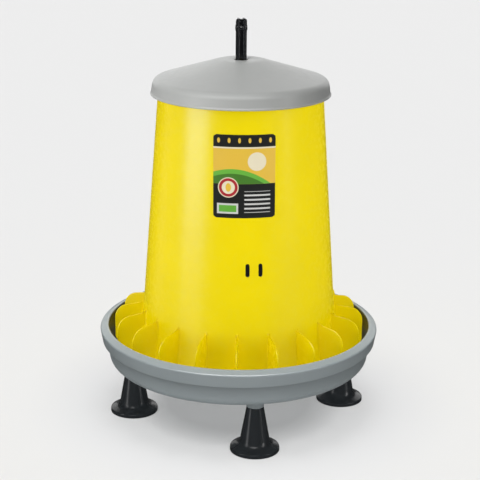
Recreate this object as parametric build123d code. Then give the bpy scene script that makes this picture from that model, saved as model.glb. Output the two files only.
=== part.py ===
from build123d import *
import os
from math import radians, tan

# Poultry feeder: a yellow hopper with a ring of fins, hung on a centre rod over a grey pan
# with four push-in legs, under a grey lid that slides on the same rod.
# Millimetres. Origin on the floor under the centre, +Z up, front slots and front leg on -Y.

# Legs
LEG_HEIGHT = 66.0
LEG_TOP_R = 12.5
LEG_WAIST_R = 19.8
LEG_WAIST_Z = 22.0
LEG_FLARE_R = 14.0
LEG_FOOT_R = 36.5
LEG_FOOT_RIM = 5.2
LEG_RIM_R = 1.5
LEG_WALL = 2.6
LEG_COUNT = 4
LEG_INSET = 37.3

# Push fit of a leg's spigot in the pan's socket
SPIGOT_R = 9.0
SPIGOT_LENGTH = 13.0
SPIGOT_BEVEL = 1.2
SPIGOT_CLEARANCE = 0.1
SPIGOT_END_GAP = 0.5
SOCKET_WALL = 3.9
SOCKET_FLOOR = 3.0

# Pan: inside radius at the rim, depth, turned-over rim and centre cone
PAN_R = 202.0
PAN_DEPTH = 58.0
PAN_TAPER = 3.8
PAN_WALL = 2.6
PAN_CORNER_R = 10.5
RIM_WIDTH = 13.0
RIM_DROP = 6.9
RIM_FACE_HEIGHT = 17.6
RIM_FACE_DRAFT = 1.0
RIM_INNER_BEND_R = 3.4
RIM_OUTER_BEND_R = 3.0
CONE_BASE_R = 112.0
CONE_HEIGHT = 53.0
CONE_BEND_R = 14.0
CONE_TOP_WALL = 18.0

# Hopper: feed gap over the pan's floor, then heights measured from the hopper's mouth
FEED_GAP = 19.4
HOPPER_HEIGHT = 416.0
HOPPER_TOP_R = 121.7
HOPPER_TAPER = 0.074
HOPPER_WALL = 2.6
FLARE_HEIGHT = 34.0
FLARE_WIDTH = 2.5
FLARE_BEND_R = 120.0
BEAD_WIDTH = 2.2
BEAD_HEIGHT = 6.0

# Fins round the foot of the hopper
FIN_COUNT = 20
FIN_THICK = 2.4
FIN_HEIGHT = 66.0
FIN_RIM_GAP = 9.0
FIN_DROOP = 8.0
FIN_CORNER_R = 22.0
FIN_ROOT_R = 5.0
FIN_FOOT_R = 10.0
FIN_TURN = -0.6

# Slots in the hopper and the bracket whose prongs sit in them
SLOT_RISE = 164.5
SLOT_SPACING = 18.8
SLOT_HEIGHT = 19.5
SLOT_WIDTH = 6.0
PRONG_CLEARANCE = 0.3
PRONG_LENGTH = 9.0
PRONG_RECESS = 0.4
HUB_WALL = 9.0
HUB_HEIGHT = 28.0
ARM_COUNT = 2
ARM_PLATE = 3.0
ARM_HEIGHT = 24.0
ARM_WALL_GAP = 2.6

# Lid
LID_OVERHANG = 8.6
LID_SHOULDER_RISE = 2.0086
LID_SKIRT = 19.5
LID_SLOPE = 16.7
LID_FLAT_R = 32.0
LID_WALL = 2.4
LID_SHOULDER_BEND_R = 9.0
LID_CROWN_BEND_R = 40.0
LID_FLARE = 2.7
LID_LIP_WIDTH = 1.8
LID_LIP_HEIGHT = 3.0
LID_LIP_BEND_R = 2.0
LID_HOLE_GAP = 2.0
LID_SEAT_WIDTH = 9.0

# Centre rod: a web with two ribs on each side, a cross hole in the head and a flange at the foot
ROD_WIDTH = 16.0
ROD_WEB = 3.6
ROD_RIB = 3.4
ROD_RIB_R = 1.2
ROD_RIB_SPACING = 8.2
ROD_DEPTH = 11.0
ROD_EXPOSED = 59.5
ROD_TAIL = 5.0
ROD_CLEARANCE = 0.5
HEAD_CORNER_R = 4.2
SADDLE_DEPTH = 1.2
EYE_DROP = 14.0
EYE_R = 2.6
EYE_WALL = 1.8
EYE_PROUD = 0.4
FLANGE_MARGIN = 12.0
FLANGE_THICK = 4.0

# Clips that slide into notches in the rod's edges
NOTCH_DEPTH = 2.0
NOTCH_COUNT = 4
NOTCH_PITCH = 8.0
CLIP_THICK = 3.0
CLIP_MARGIN = 10.0
CLIP_FIT = 0.1
TAB_WIDTH = 14.0
TAB_LENGTH = 9.0
TAB_CORNER_R = 3.5

# Label, a rounded sticker on the front of the hopper
LABEL_WIDTH = 85.0
LABEL_HEIGHT = 117.0
LABEL_DROP = 115.0
LABEL_TURN = -6.0
LABEL_THICK = 0.3
LABEL_CORNER_R = 4.0

# Gaps at rest: under a piece that slides, and behind the label
SEAT_GAP = 0.2
FILM_GAP = 0.05

# Smallest bend, and the share of a run that one bend may take
SHARP_R = 0.3
RUN_SHARE = 0.48

# Heights that follow from the sizes above, from the floor up
socket_depth = SPIGOT_LENGTH + SOCKET_FLOOR
pan_under_z = LEG_HEIGHT + socket_depth
pan_floor_z = pan_under_z + PAN_WALL
hub_z = pan_floor_z + CONE_HEIGHT
mouth_z = pan_floor_z + FEED_GAP
slot_z = mouth_z + SLOT_RISE
hopper_top_z = mouth_z + HOPPER_HEIGHT
lid_shoulder_z = hopper_top_z + LID_SHOULDER_RISE
lid_shoulder_r = HOPPER_TOP_R + LID_OVERHANG
lid_top_z = lid_shoulder_z + (lid_shoulder_r - LID_FLAT_R) * tan(radians(LID_SLOPE))
rod_top_z = lid_top_z + ROD_EXPOSED
height_clip_z = slot_z - HUB_HEIGHT / 2 - SEAT_GAP - CLIP_THICK

# Radii that follow from the pan, the rod and the hopper's rim
leg_circle_r = PAN_R - LEG_INSET
neck_width = ROD_WIDTH - 2 * NOTCH_DEPTH
clip_r = ROD_WIDTH / 2 + CLIP_MARGIN
bead_r = HOPPER_TOP_R + BEAD_WIDTH

# Ways to place a solid on a height: standing over it or hanging under it
MIN, CEN, MAX = Align.MIN, Align.CENTER, Align.MAX
OVER = (CEN, CEN, MIN)
UNDER = (CEN, CEN, MAX)


def hopper_r(z):
    """Outer radius of the hopper's cone at a height."""
    return HOPPER_TOP_R + (hopper_top_z - z) * HOPPER_TAPER


def turned(points):
    """Solid of revolution of a closed outline of (radius, height) points."""
    return revolve(Plane.XZ * make_face(Polyline(*points, close=True)), Axis.Z)


def beside(path, distance):
    """The path moved sideways to its left by a distance, with mitred corners."""
    runs = [(end - start).normalized() for start, end in zip(path, path[1:])]
    normals = [Vector(-run.Y, run.X) for run in runs]
    moved = [path[0] + normals[0] * distance]
    for corner, before, after in zip(path[1:-1], normals, normals[1:]):
        moved.append(corner + (before + after) * (distance / (1 + before.dot(after))))
    return moved + [path[-1] + normals[-1] * distance]


def rounded(path, radii):
    """The path with its corners rounded, each bend no larger than its two runs allow."""
    fitting = []
    for start, corner, end, radius in zip(path, path[1:], path[2:], radii):
        half_turn = radians((corner - start).get_angle(end - corner)) / 2
        shorter_run = min((corner - start).length, (end - corner).length)
        fitting.append(min(max(radius, SHARP_R), RUN_SHARE * shorter_run / tan(half_turn)))
    return FilletPolyline(*path, radius=fitting)


def turned_wall(points, radii, thickness):
    """Thin wall of revolution to the left of a path of (radius, height) points."""
    path = [Vector(*point) for point in points]
    back_radii = []
    for start, corner, end, radius in zip(path, path[1:], path[2:], radii):
        turns_left = (corner - start).cross(end - corner).Z > 0
        back_radii.append(radius - thickness if turns_left else radius + thickness)
    face_line = rounded(path, radii)
    back_line = rounded(beside(path, thickness), back_radii)
    ends = [Line(face_line @ 0, back_line @ 0), Line(face_line @ 1, back_line @ 1)]
    outline = Wire(face_line.edges() + back_line.edges() + ends)
    return revolve(Plane.XZ * Face(outline), Axis.Z)


def around(shape, count, start=0.0):
    """Copies of a shape modelled on the -Y side, evenly spaced about the rod."""
    return [Rot(0, 0, start + 360.0 * i / count) * shape for i in range(count)]


def side_by_side(shape, spacing):
    """Two copies of a shape, spaced along X."""
    return Pos(-spacing / 2, 0, 0) * shape + Pos(spacing / 2, 0, 0) * shape


def rod_hole(height):
    """Block that cuts the rod's rectangular hole upwards from z = 0."""
    return Box(ROD_WIDTH + 2 * ROD_CLEARANCE, ROD_DEPTH + 2 * ROD_CLEARANCE, height, align=OVER)


# Legs: hollow trumpets with a spigot on top
def leg():
    shell = turned_wall(
        [(LEG_TOP_R, LEG_HEIGHT), (LEG_WAIST_R, LEG_WAIST_Z), (LEG_FOOT_R, LEG_FOOT_RIM), (LEG_FOOT_R, 0)],
        [LEG_FLARE_R, LEG_RIM_R],
        -LEG_WALL,
    )
    cap = Pos(0, 0, LEG_HEIGHT) * Cylinder(LEG_TOP_R, LEG_WALL, align=UNDER)
    spigot = Pos(0, 0, LEG_HEIGHT) * Cylinder(SPIGOT_R, SPIGOT_LENGTH, align=OVER)
    spigot = chamfer(spigot.edges().group_by(Axis.Z)[-1], SPIGOT_BEVEL)
    return Pos(0, -leg_circle_r, 0) * (shell + cap + spigot)


# Pan: turned-over rim, round bowl, centre cone with the rod's hub, and four sockets underneath
def socket():
    """Blind socket under the pan's floor for one leg."""
    bore_r = SPIGOT_R + SPIGOT_CLEARANCE
    boss = Cylinder(bore_r + SOCKET_WALL, socket_depth + PAN_WALL / 2, align=OVER)
    bore = Cylinder(bore_r, SPIGOT_LENGTH + SPIGOT_END_GAP, align=OVER)
    return Pos(0, -leg_circle_r, LEG_HEIGHT) * (boss - bore)


def pan():
    rim_z = pan_floor_z + PAN_DEPTH
    shoulder_z = rim_z - RIM_DROP
    hub_r = ROD_WIDTH / 2 + CONE_TOP_WALL
    wall = turned_wall(
        [
            (ROD_WIDTH / 2, hub_z),
            (hub_r, hub_z),
            (CONE_BASE_R, pan_floor_z),
            (PAN_R - PAN_TAPER, pan_floor_z),
            (PAN_R, rim_z),
            (PAN_R + RIM_WIDTH, shoulder_z),
            (PAN_R + RIM_WIDTH - RIM_FACE_DRAFT, shoulder_z - RIM_FACE_HEIGHT),
        ],
        [CONE_BEND_R, CONE_BEND_R, PAN_CORNER_R, RIM_INNER_BEND_R, RIM_OUTER_BEND_R],
        -PAN_WALL,
    )
    hub = Pos(0, 0, hub_z) * Cylinder(clip_r, PAN_WALL, align=UNDER)
    hole = Pos(0, 0, hub_z - PAN_WALL) * rod_hole(PAN_WALL)
    return wall + hub - hole + around(socket(), LEG_COUNT)


# Centre rod
def rod_section():
    """The rod's section: a web with two ribs standing out on each side."""
    ribs = side_by_side(RectangleRounded(ROD_RIB, ROD_DEPTH, ROD_RIB_R), ROD_RIB_SPACING)
    return ribs + Rectangle(ROD_WIDTH, ROD_WEB)


def rod_shaft(tail_z):
    """The ribbed shaft from its tail up to a head with rounded corners and a saddle."""
    shaft = Pos(0, 0, tail_z) * extrude(rod_section(), rod_top_z - tail_z)
    envelope = Pos(0, 0, rod_top_z) * Box(ROD_WIDTH, ROD_DEPTH, rod_top_z - tail_z, align=UNDER)
    corners = envelope.edges().filter_by(Axis.Y).group_by(Axis.Z)[-1]
    saddle = Pos(0, 0, rod_top_z) * Box(ROD_RIB_SPACING - ROD_RIB, ROD_DEPTH, 2 * SADDLE_DEPTH)
    return shaft & fillet(corners, HEAD_CORNER_R) - saddle


def cross_tube(radius, length):
    """Round bar across the head at the height of its cross hole."""
    return Pos(0, 0, rod_top_z - EYE_DROP) * Rot(0, 90, 0) * Cylinder(radius, length)


def notches(z):
    """Cuts across the rod's two edges for a clip lying at a height."""
    cut = Box(ROD_WIDTH, ROD_DEPTH, CLIP_THICK + CLIP_FIT, align=OVER)
    return Pos(0, 0, z) * side_by_side(cut, neck_width + ROD_WIDTH)


def rod():
    tail_z = hub_z - PAN_WALL - FLANGE_THICK - ROD_TAIL
    flange_r = ROD_WIDTH / 2 + FLANGE_MARGIN
    flange = Pos(0, 0, hub_z - PAN_WALL) * Cylinder(flange_r, FLANGE_THICK, align=UNDER)
    eye_width = ROD_WIDTH + 2 * EYE_PROUD
    eye = cross_tube(EYE_R + EYE_WALL, eye_width)
    body = rod_shaft(tail_z) + flange + eye - cross_tube(EYE_R, 2 * eye_width) - notches(hub_z)
    for step in range(NOTCH_COUNT):
        body -= notches(height_clip_z + step * NOTCH_PITCH)
    return body


# Clip: a round plate with a slot that slides into the rod's notches, and a thumb tab
def clip(z):
    plate = Cylinder(clip_r, CLIP_THICK, align=OVER)
    tab = Pos(0, -clip_r - TAB_LENGTH, 0) * Box(
        TAB_WIDTH, clip_r + TAB_LENGTH, CLIP_THICK, align=(CEN, MIN, MIN)
    )
    tab = fillet(tab.edges().filter_by(Axis.Z).group_by(Axis.Y)[0], TAB_CORNER_R)
    slot = Pos(0, -ROD_DEPTH / 2 - CLIP_FIT, 0) * Box(
        neck_width + 2 * CLIP_FIT, 2 * clip_r, CLIP_THICK, align=(CEN, MIN, MIN)
    )
    return Pos(0, 0, z) * (plate + tab - slot)


# Hopper: tapered tube with a ring of fins and slots for the bracket's prongs, one moulding
def fin():
    """One upright fin: filleted root, drooping top edge and rounded outer corner."""
    root_z = mouth_z + FIN_HEIGHT
    root_r = hopper_r(root_z)
    outer_r = PAN_R - FIN_RIM_GAP
    sink = HOPPER_WALL / 2
    start_z = root_z + 2 * FIN_ROOT_R
    edge = rounded(
        [
            Vector(hopper_r(start_z) - sink, start_z),
            Vector(root_r, root_z),
            Vector(outer_r, root_z - FIN_DROOP),
            Vector(outer_r, mouth_z),
            Vector(hopper_r(mouth_z) + FLARE_WIDTH - sink, mouth_z),
        ],
        [FIN_ROOT_R, FIN_CORNER_R, FIN_FOOT_R],
    )
    back = Polyline(edge @ 1, (root_r - sink, root_z), edge @ 0)
    outline = Plane.XZ * Face(Wire(edge.edges() + back.edges()))
    return Rot(0, 0, -90) * extrude(outline, FIN_THICK / 2, both=True)


def slot_pair():
    """Cutter for one pair of upright slots through the hopper's wall."""
    section = Plane.XZ * side_by_side(SlotOverall(SLOT_HEIGHT, SLOT_WIDTH, rotation=90), SLOT_SPACING)
    return Pos(0, -hopper_r(slot_z), slot_z) * extrude(section, 4 * HOPPER_WALL, both=True)


def hopper():
    flare_z = mouth_z + FLARE_HEIGHT
    wall = turned_wall(
        [
            (hopper_r(mouth_z) + FLARE_WIDTH, mouth_z),
            (hopper_r(flare_z), flare_z),
            (HOPPER_TOP_R, hopper_top_z),
        ],
        [FLARE_BEND_R],
        HOPPER_WALL,
    )
    bead = turned(
        [
            (HOPPER_TOP_R - HOPPER_WALL / 2, hopper_top_z - BEAD_HEIGHT),
            (bead_r, hopper_top_z - BEAD_HEIGHT),
            (bead_r, hopper_top_z),
            (HOPPER_TOP_R - HOPPER_WALL / 2, hopper_top_z),
        ]
    )
    first_fin = 180.0 / FIN_COUNT + FIN_TURN
    body = wall + bead + around(fin(), FIN_COUNT, first_fin)
    return body - around(slot_pair(), ARM_COUNT)


# Bracket: hub on the rod with channel arms whose prongs sit in the hopper's slots
def arm():
    reach = hopper_r(slot_z) - HOPPER_WALL - ARM_WALL_GAP
    base_z = slot_z - ARM_HEIGHT / 2
    plates = side_by_side(Box(ARM_PLATE, reach, ARM_HEIGHT, align=(CEN, MAX, MIN)), SLOT_SPACING)
    web = Pos(0, 0, ARM_HEIGHT) * Box(SLOT_SPACING + ARM_PLATE, reach, ARM_PLATE, align=(CEN, MAX, MAX))
    height = SLOT_HEIGHT - 2 * PRONG_CLEARANCE
    width = SLOT_WIDTH - 2 * PRONG_CLEARANCE
    section = Plane.XZ * side_by_side(SlotOverall(height, width, rotation=90), SLOT_SPACING)
    prongs = Pos(0, PRONG_LENGTH - reach, slot_z) * extrude(section, 3 * PRONG_LENGTH)
    return Pos(0, 0, base_z) * (plates + web) + prongs


def bracket():
    hub = Pos(0, 0, slot_z) * Cylinder(ROD_WIDTH / 2 + HUB_WALL, HUB_HEIGHT)
    hole = Pos(0, 0, slot_z - HUB_HEIGHT / 2) * rod_hole(HUB_HEIGHT)
    low_z = slot_z - HUB_HEIGHT
    high_z = slot_z + HUB_HEIGHT
    prong_trim = turned(
        [
            (0, low_z),
            (hopper_r(low_z) - PRONG_RECESS, low_z),
            (hopper_r(high_z) - PRONG_RECESS, high_z),
            (0, high_z),
        ]
    )
    return (hub + around(arm(), ARM_COUNT)) & prong_trim - hole


# Lid: shallow cone with a rounded shoulder, a flared lip, a seat ring and the rod's hole
def lid():
    drop = tan(radians(LID_SLOPE))
    skirt_r = lid_shoulder_r + LID_FLARE
    lip_z = hopper_top_z - LID_SKIRT
    cover = turned_wall(
        [
            (skirt_r + LID_LIP_WIDTH, lip_z),
            (skirt_r, lip_z + LID_LIP_HEIGHT),
            (lid_shoulder_r, lid_shoulder_z),
            (LID_FLAT_R, lid_top_z),
            (ROD_WIDTH / 2 + LID_HOLE_GAP, lid_top_z),
        ],
        [LID_LIP_BEND_R, LID_SHOULDER_BEND_R, LID_CROWN_BEND_R],
        LID_WALL,
    )
    seat_r = bead_r - LID_SEAT_WIDTH
    seat_z = hopper_top_z + SEAT_GAP
    inside_z = lid_top_z - LID_WALL / 2
    seat = turned(
        [
            (seat_r, seat_z),
            (bead_r, seat_z),
            (bead_r, inside_z - (bead_r - LID_FLAT_R) * drop),
            (seat_r, inside_z - (seat_r - LID_FLAT_R) * drop),
        ]
    )
    return cover + seat


# Label: a thin rounded sheet wrapped on the hopper's front
def label():
    middle_z = hopper_top_z - LABEL_DROP
    low_z = middle_z - LABEL_HEIGHT
    high_z = middle_z + LABEL_HEIGHT
    skin = turned(
        [
            (hopper_r(low_z) + FILM_GAP, low_z),
            (hopper_r(low_z) + FILM_GAP + LABEL_THICK, low_z),
            (hopper_r(high_z) + FILM_GAP + LABEL_THICK, high_z),
            (hopper_r(high_z) + FILM_GAP, high_z),
        ]
    )
    sheet = Plane.XZ * RectangleRounded(LABEL_WIDTH, LABEL_HEIGHT, LABEL_CORNER_R)
    window = Pos(0, 0, middle_z) * extrude(sheet, 2 * hopper_r(low_z))
    return Rot(0, 0, LABEL_TURN) * (skin & window)


# Every piece by its name
pieces = {
    "lid": lid(),
    "hopper": hopper(),
    "hopper_bracket": bracket(),
    "label": label(),
    "hanger_rod": rod(),
    "height_clip": clip(height_clip_z),
    "pan_clip": clip(hub_z),
    "pan": pan(),
}
for number, solid in enumerate(around(leg(), LEG_COUNT), start=1):
    pieces[f"leg_{number}"] = solid

os.makedirs("parts", exist_ok=True)
for name, piece in pieces.items():
    export_step(piece, f"parts/{name}.step")
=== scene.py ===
"""Poultry feeder in its finishes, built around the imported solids.

Sizes are in millimetres in the feeder's own frame: the origin is on the floor under the
centre, +Z is up, and the front pair of slots and the front leg are on -Y. Meshes are made
in metres at that place, so every object sits at the origin.
"""

import logging
from dataclasses import dataclass, field
from enum import Enum
from math import asin, cos, pi, radians, sin, tan

import bmesh
import bpy
import numpy as np
from mathutils import Matrix, Vector

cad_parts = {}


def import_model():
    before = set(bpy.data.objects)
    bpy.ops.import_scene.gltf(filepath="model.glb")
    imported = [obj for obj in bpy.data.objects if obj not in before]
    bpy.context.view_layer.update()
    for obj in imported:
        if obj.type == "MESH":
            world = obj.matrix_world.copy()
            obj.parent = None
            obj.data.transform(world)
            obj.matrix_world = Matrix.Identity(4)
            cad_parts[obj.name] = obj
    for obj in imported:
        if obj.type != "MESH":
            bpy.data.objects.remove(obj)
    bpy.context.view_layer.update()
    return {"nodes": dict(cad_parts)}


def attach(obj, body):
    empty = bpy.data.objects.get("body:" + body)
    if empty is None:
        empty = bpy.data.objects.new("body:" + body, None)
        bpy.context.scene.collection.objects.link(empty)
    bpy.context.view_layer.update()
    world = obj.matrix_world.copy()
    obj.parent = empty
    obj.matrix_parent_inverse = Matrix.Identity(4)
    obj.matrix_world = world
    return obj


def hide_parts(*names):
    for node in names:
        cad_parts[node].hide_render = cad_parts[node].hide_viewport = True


log = logging.getLogger("feeder")

MM = 0.001
TURN = 2 * pi


class Body(Enum):
    """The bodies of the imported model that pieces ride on."""

    STAND = "stand"
    HOPPER = "hopper_body"
    LID = "lid_body"


class Slot(Enum):
    """The record's material slots."""

    YELLOW = "yellow_plastic"
    LID_GREY = "grey_lid_plastic"
    PAN_GREY = "grey_pan_plastic"
    BLACK = "black_plastic"
    LABEL = "label_film"


# Curves and surfaces


def arc_points(centre: np.ndarray, radius: float, start: float, end: float,
               steps: int) -> np.ndarray:
    """Points on a circular arc: centre + radius * (cos a, sin a) for a from start to end."""
    a = np.linspace(start, end, steps)
    return centre + radius * np.stack([np.cos(a), np.sin(a)], axis=1)


def rounded_path(points: list, radii: list, steps: int = 9, support: float = 0.8) -> np.ndarray:
    """Polyline in a plane with an arc at each inner corner.

    The arc touches both runs at radius * tan(turn / 2) from the corner. A point is kept
    close to each end of a run, so that smooth shading stays on the bend.

    Args:
        points: The corners, as (x, y) pairs.
        radii: One radius for each inner corner.
        steps: Points on each arc.
        support: Distance from a run's end to its extra point.

    Returns:
        The path as an array of (x, y) rows.
    """
    p = np.asarray(points, float)
    parts = [p[:1]]
    for before, corner, after, radius in zip(p, p[1:], p[2:], radii):
        a, b = before - corner, after - corner
        la, lb = np.linalg.norm(a), np.linalg.norm(b)
        a, b = a / la, b / lb
        half = np.arccos(np.clip(a @ b, -1, 1)) / 2
        reach = min(radius / tan(half), 0.49 * min(la, lb))
        radius = reach * tan(half)
        middle = (a + b) / np.linalg.norm(a + b)
        centre = corner + middle * (radius / sin(half))
        first, last = corner + a * reach - centre, corner + b * reach - centre
        start = np.arctan2(first[1], first[0])
        swing = np.arctan2(first[0] * last[1] - first[1] * last[0], first @ last)
        parts.append((corner + a * (reach + min(support, 0.3 * la)))[None])
        parts.append(arc_points(centre, radius, start, start + swing, steps))
        parts.append((corner + b * (reach + min(support, 0.3 * lb)))[None])
    parts.append(p[-1:])
    path = np.vstack(parts)
    keep = np.r_[True, np.linalg.norm(np.diff(path, axis=0), axis=1) > 1e-4]
    return path[keep]


def normals_of(path: np.ndarray) -> np.ndarray:
    """Unit normals to the left of a path, each from the chord between its two neighbours.

    Args:
        path: Rows of (x, y).

    Returns:
        One unit vector for each row.
    """
    chord = np.gradient(path, axis=0)
    chord /= np.linalg.norm(chord, axis=1)[:, None]
    return np.stack([-chord[:, 1], chord[:, 0]], axis=1)


def wall_loop(path: np.ndarray, thickness: float, edge: float) -> np.ndarray:
    """Closed outline of a thin wall that lies to one side of a path.

    The back line is the path moved along its normals by the thickness, and both ends are
    closed by two corners rounded to the edge radius.

    Args:
        path: The face line.
        thickness: Wall thickness, positive to the left of the path.
        edge: Radius on the two corners at each end.

    Returns:
        The outline, in order, without a repeated last point.
    """
    n = normals_of(path) * np.sign(thickness)
    t = abs(thickness)
    edge = min(edge, 0.48 * t)
    back = path + n * t
    ends = []
    for i, out in ((-1, path[-1] - path[-2]), (0, path[0] - path[1])):
        out = out / np.linalg.norm(out)
        a = np.linspace(0, pi / 2, 6)[:, None]
        face = path[i] + n[i] * edge * (1 - np.cos(a)) - out * edge * (1 - np.sin(a))
        rear = back[i] - n[i] * edge * (1 - np.cos(a)) - out * edge * (1 - np.sin(a))
        ends.append((face, rear))
    (end_face, end_rear), (start_face, start_rear) = ends
    loop = [path[1:-1], end_face, end_rear[::-1], back[-2:0:-1], start_rear, start_face[::-1]]
    return np.vstack(loop)


def turned_grid(outline: np.ndarray, angles: np.ndarray) -> np.ndarray:
    """Surface of revolution: (r, z) at angle a goes to (r sin a, -r cos a, z)."""
    r, z = outline[:, :1], outline[:, 1:]
    return np.stack([r * np.sin(angles), -r * np.cos(angles), z + 0 * angles], axis=2)


def around(count: int) -> np.ndarray:
    """Evenly spaced angles of a full turn, without the repeated last one."""
    return np.arange(count) * (TURN / count)


def turned_about_z(points: np.ndarray, angle: float) -> np.ndarray:
    """Points turned about +Z by an angle, anticlockwise seen from above."""
    c, s = cos(angle), sin(angle)
    return points @ np.array([[c, s, 0], [-s, c, 0], [0, 0, 1]])


class Surface:
    """Collects grids of points in millimetres and turns them into one mesh object."""

    def __init__(self) -> None:
        """Starts with nothing in it."""
        self.points: list = []
        self.faces: list = []
        self.count = 0

    def grid(self, points: np.ndarray, close_rows: bool = False, close_columns: bool = False,
             keep: np.ndarray | None = None) -> None:
        """Adds a grid whose cells are quads between neighbouring rows and columns.

        Args:
            points: Array of rows x columns x 3.
            close_rows: Joins the last row to the first.
            close_columns: Joins the last column to the first.
            keep: Cells to keep, as booleans, or None for all of them.
        """
        rows, columns = points.shape[:2]
        index = np.arange(rows * columns).reshape(rows, columns) + self.count
        if close_rows:
            index = np.vstack([index, index[:1]])
        if close_columns:
            index = np.hstack([index, index[:, :1]])
        cells = np.stack([index[:-1, :-1], index[:-1, 1:], index[1:, 1:], index[1:, :-1]], axis=2)
        if keep is not None:
            cells = cells[keep]
        self.faces.extend(cells.reshape(-1, 4).tolist())
        self._add(points.reshape(-1, 3))

    def ring_cap(self, ring: np.ndarray) -> None:
        """Adds one flat face over a ring of points."""
        self.faces.append((np.arange(len(ring)) + self.count).tolist())
        self._add(ring)

    def _add(self, points: np.ndarray) -> None:
        """Takes in points after their faces are numbered."""
        self.points.append(points)
        self.count += len(points)

    def build(self, name: str, smooth_angle: float = 40.0) -> bpy.types.Object:
        """Makes the mesh: joins equal points, turns faces outwards and sets smooth shading.

        Args:
            name: Name of the piece.
            smooth_angle: Edges sharper than this many degrees stay sharp.

        Returns:
            The new object, at the origin.
        """
        mesh = bpy.data.meshes.new(name)
        mesh.from_pydata((np.vstack(self.points) * MM).tolist(), [], self.faces)
        work = bmesh.new()
        work.from_mesh(mesh)
        bmesh.ops.remove_doubles(work, verts=work.verts, dist=2e-6)
        bmesh.ops.dissolve_degenerate(work, edges=work.edges, dist=1e-7)
        bmesh.ops.recalc_face_normals(work, faces=work.faces)
        work.to_mesh(mesh)
        work.free()
        mesh.polygons.foreach_set("use_smooth", np.ones(len(mesh.polygons), bool))
        mesh.set_sharp_from_angle(angle=radians(smooth_angle))
        mesh.update()
        piece = bpy.data.objects.new(name, mesh)
        bpy.context.scene.collection.objects.link(piece)
        return piece


def place(piece: bpy.types.Object, body: Body, slot: Slot, material: bpy.types.Material,
          *nodes: str) -> bpy.types.Object:
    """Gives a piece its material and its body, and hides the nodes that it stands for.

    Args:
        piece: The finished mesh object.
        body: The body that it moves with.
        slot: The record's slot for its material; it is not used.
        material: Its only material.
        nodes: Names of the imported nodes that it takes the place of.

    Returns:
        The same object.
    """
    piece.data.materials.clear()
    piece.data.materials.append(material)
    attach(piece, body.value)
    if nodes:
        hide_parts(*nodes)
    log.info("%s: %d faces on %s", piece.name, len(piece.data.polygons), body.value)
    return piece


# Finishes


class Graph:
    """Short way to lay shader nodes and join them."""

    def __init__(self, name: str) -> None:
        """Starts an empty material with a Principled shader and its output.

        Args:
            name: Name of the material.
        """
        self.material = bpy.data.materials.new(name)
        self.material.use_nodes = True
        self.tree = self.material.node_tree
        self.tree.nodes.clear()
        self.shader = self.add("ShaderNodeBsdfPrincipled")
        out = self.add("ShaderNodeOutputMaterial")
        self.join(self.shader.outputs["BSDF"], out.inputs["Surface"])

    def add(self, kind: str, **values: object) -> bpy.types.Node:
        """Adds a node and sets its properties by name.

        Args:
            kind: The node's type.
            values: Its properties.

        Returns:
            The node.
        """
        node = self.tree.nodes.new(kind)
        for key, value in values.items():
            setattr(node, key, value)
        return node

    def join(self, source: bpy.types.NodeSocket, target: bpy.types.NodeSocket) -> None:
        """Links two sockets."""
        self.tree.links.new(source, target)

    def put(self, target: bpy.types.NodeSocket, value: object) -> None:
        """Links a socket or sets a plain value."""
        if isinstance(value, bpy.types.NodeSocket):
            self.join(value, target)
        else:
            target.default_value = value

    def math(self, operation: str, *values: object, clamp: bool = False) -> bpy.types.NodeSocket:
        """A Math node of sockets or numbers.

        Args:
            operation: What the node does.
            values: Its inputs in order.
            clamp: Holds the result between 0 and 1.

        Returns:
            The result.
        """
        node = self.add("ShaderNodeMath", operation=operation, use_clamp=clamp)
        for socket, value in zip(node.inputs, values):
            self.put(socket, value)
        return node.outputs[0]

    def noise(self, vector: bpy.types.NodeSocket, scale: float, detail: float = 3.0,
              roughness: float = 0.5) -> bpy.types.NodeSocket:
        """A Noise texture's factor.

        Args:
            vector: Where it is read.
            scale: Features to a metre, about.
            detail: Octaves.
            roughness: Weight of the finer octaves.

        Returns:
            The factor, from 0 to 1.
        """
        node = self.add("ShaderNodeTexNoise")
        self.put(node.inputs["Vector"], vector)
        for name, value in (("Scale", scale), ("Detail", detail), ("Roughness", roughness)):
            node.inputs[name].default_value = value
        return node.outputs["Fac"]

    def ramp(self, value: bpy.types.NodeSocket, low: float, high: float, to_low: float,
             to_high: float) -> bpy.types.NodeSocket:
        """A value carried from one range to another, held at its ends.

        Args:
            value: The value.
            low: Start of its range.
            high: End of its range.
            to_low: What the start becomes.
            to_high: What the end becomes.

        Returns:
            The new value.
        """
        node = self.add("ShaderNodeMapRange")
        for socket, number in zip(node.inputs, (value, low, high, to_low, to_high)):
            self.put(socket, number)
        return node.outputs[0]

    def blend(self, share: object, first: object, second: object) -> bpy.types.NodeSocket:
        """A colour between two others.

        Args:
            share: How far it is from the first to the second.
            first: The first colour.
            second: The second colour.

        Returns:
            The colour.
        """
        node = self.add("ShaderNodeMix", data_type="RGBA")
        self.put(node.inputs["Factor"], share)
        self.put(node.inputs[6], first)
        self.put(node.inputs[7], second)
        return node.outputs[2]

    def bump(self, height: bpy.types.NodeSocket, distance: float, strength: float,
             normal: bpy.types.NodeSocket | None = None) -> bpy.types.NodeSocket:
        """A bumped normal from a height.

        Args:
            height: The height, from 0 to 1.
            distance: What a height of 1 is, in metres.
            strength: Share of the effect.
            normal: A normal to start from.

        Returns:
            The normal.
        """
        node = self.add("ShaderNodeBump")
        node.inputs["Strength"].default_value = strength
        node.inputs["Distance"].default_value = distance
        self.join(height, node.inputs["Height"])
        if normal is not None:
            self.join(normal, node.inputs["Normal"])
        return node.outputs["Normal"]

    def position(self) -> bpy.types.NodeSocket:
        """Object coordinates, in metres."""
        return self.add("ShaderNodeTexCoord").outputs["Object"]


def rgba(color: tuple) -> tuple:
    """A linear colour with full alpha."""
    return (*color, 1.0)


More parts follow.
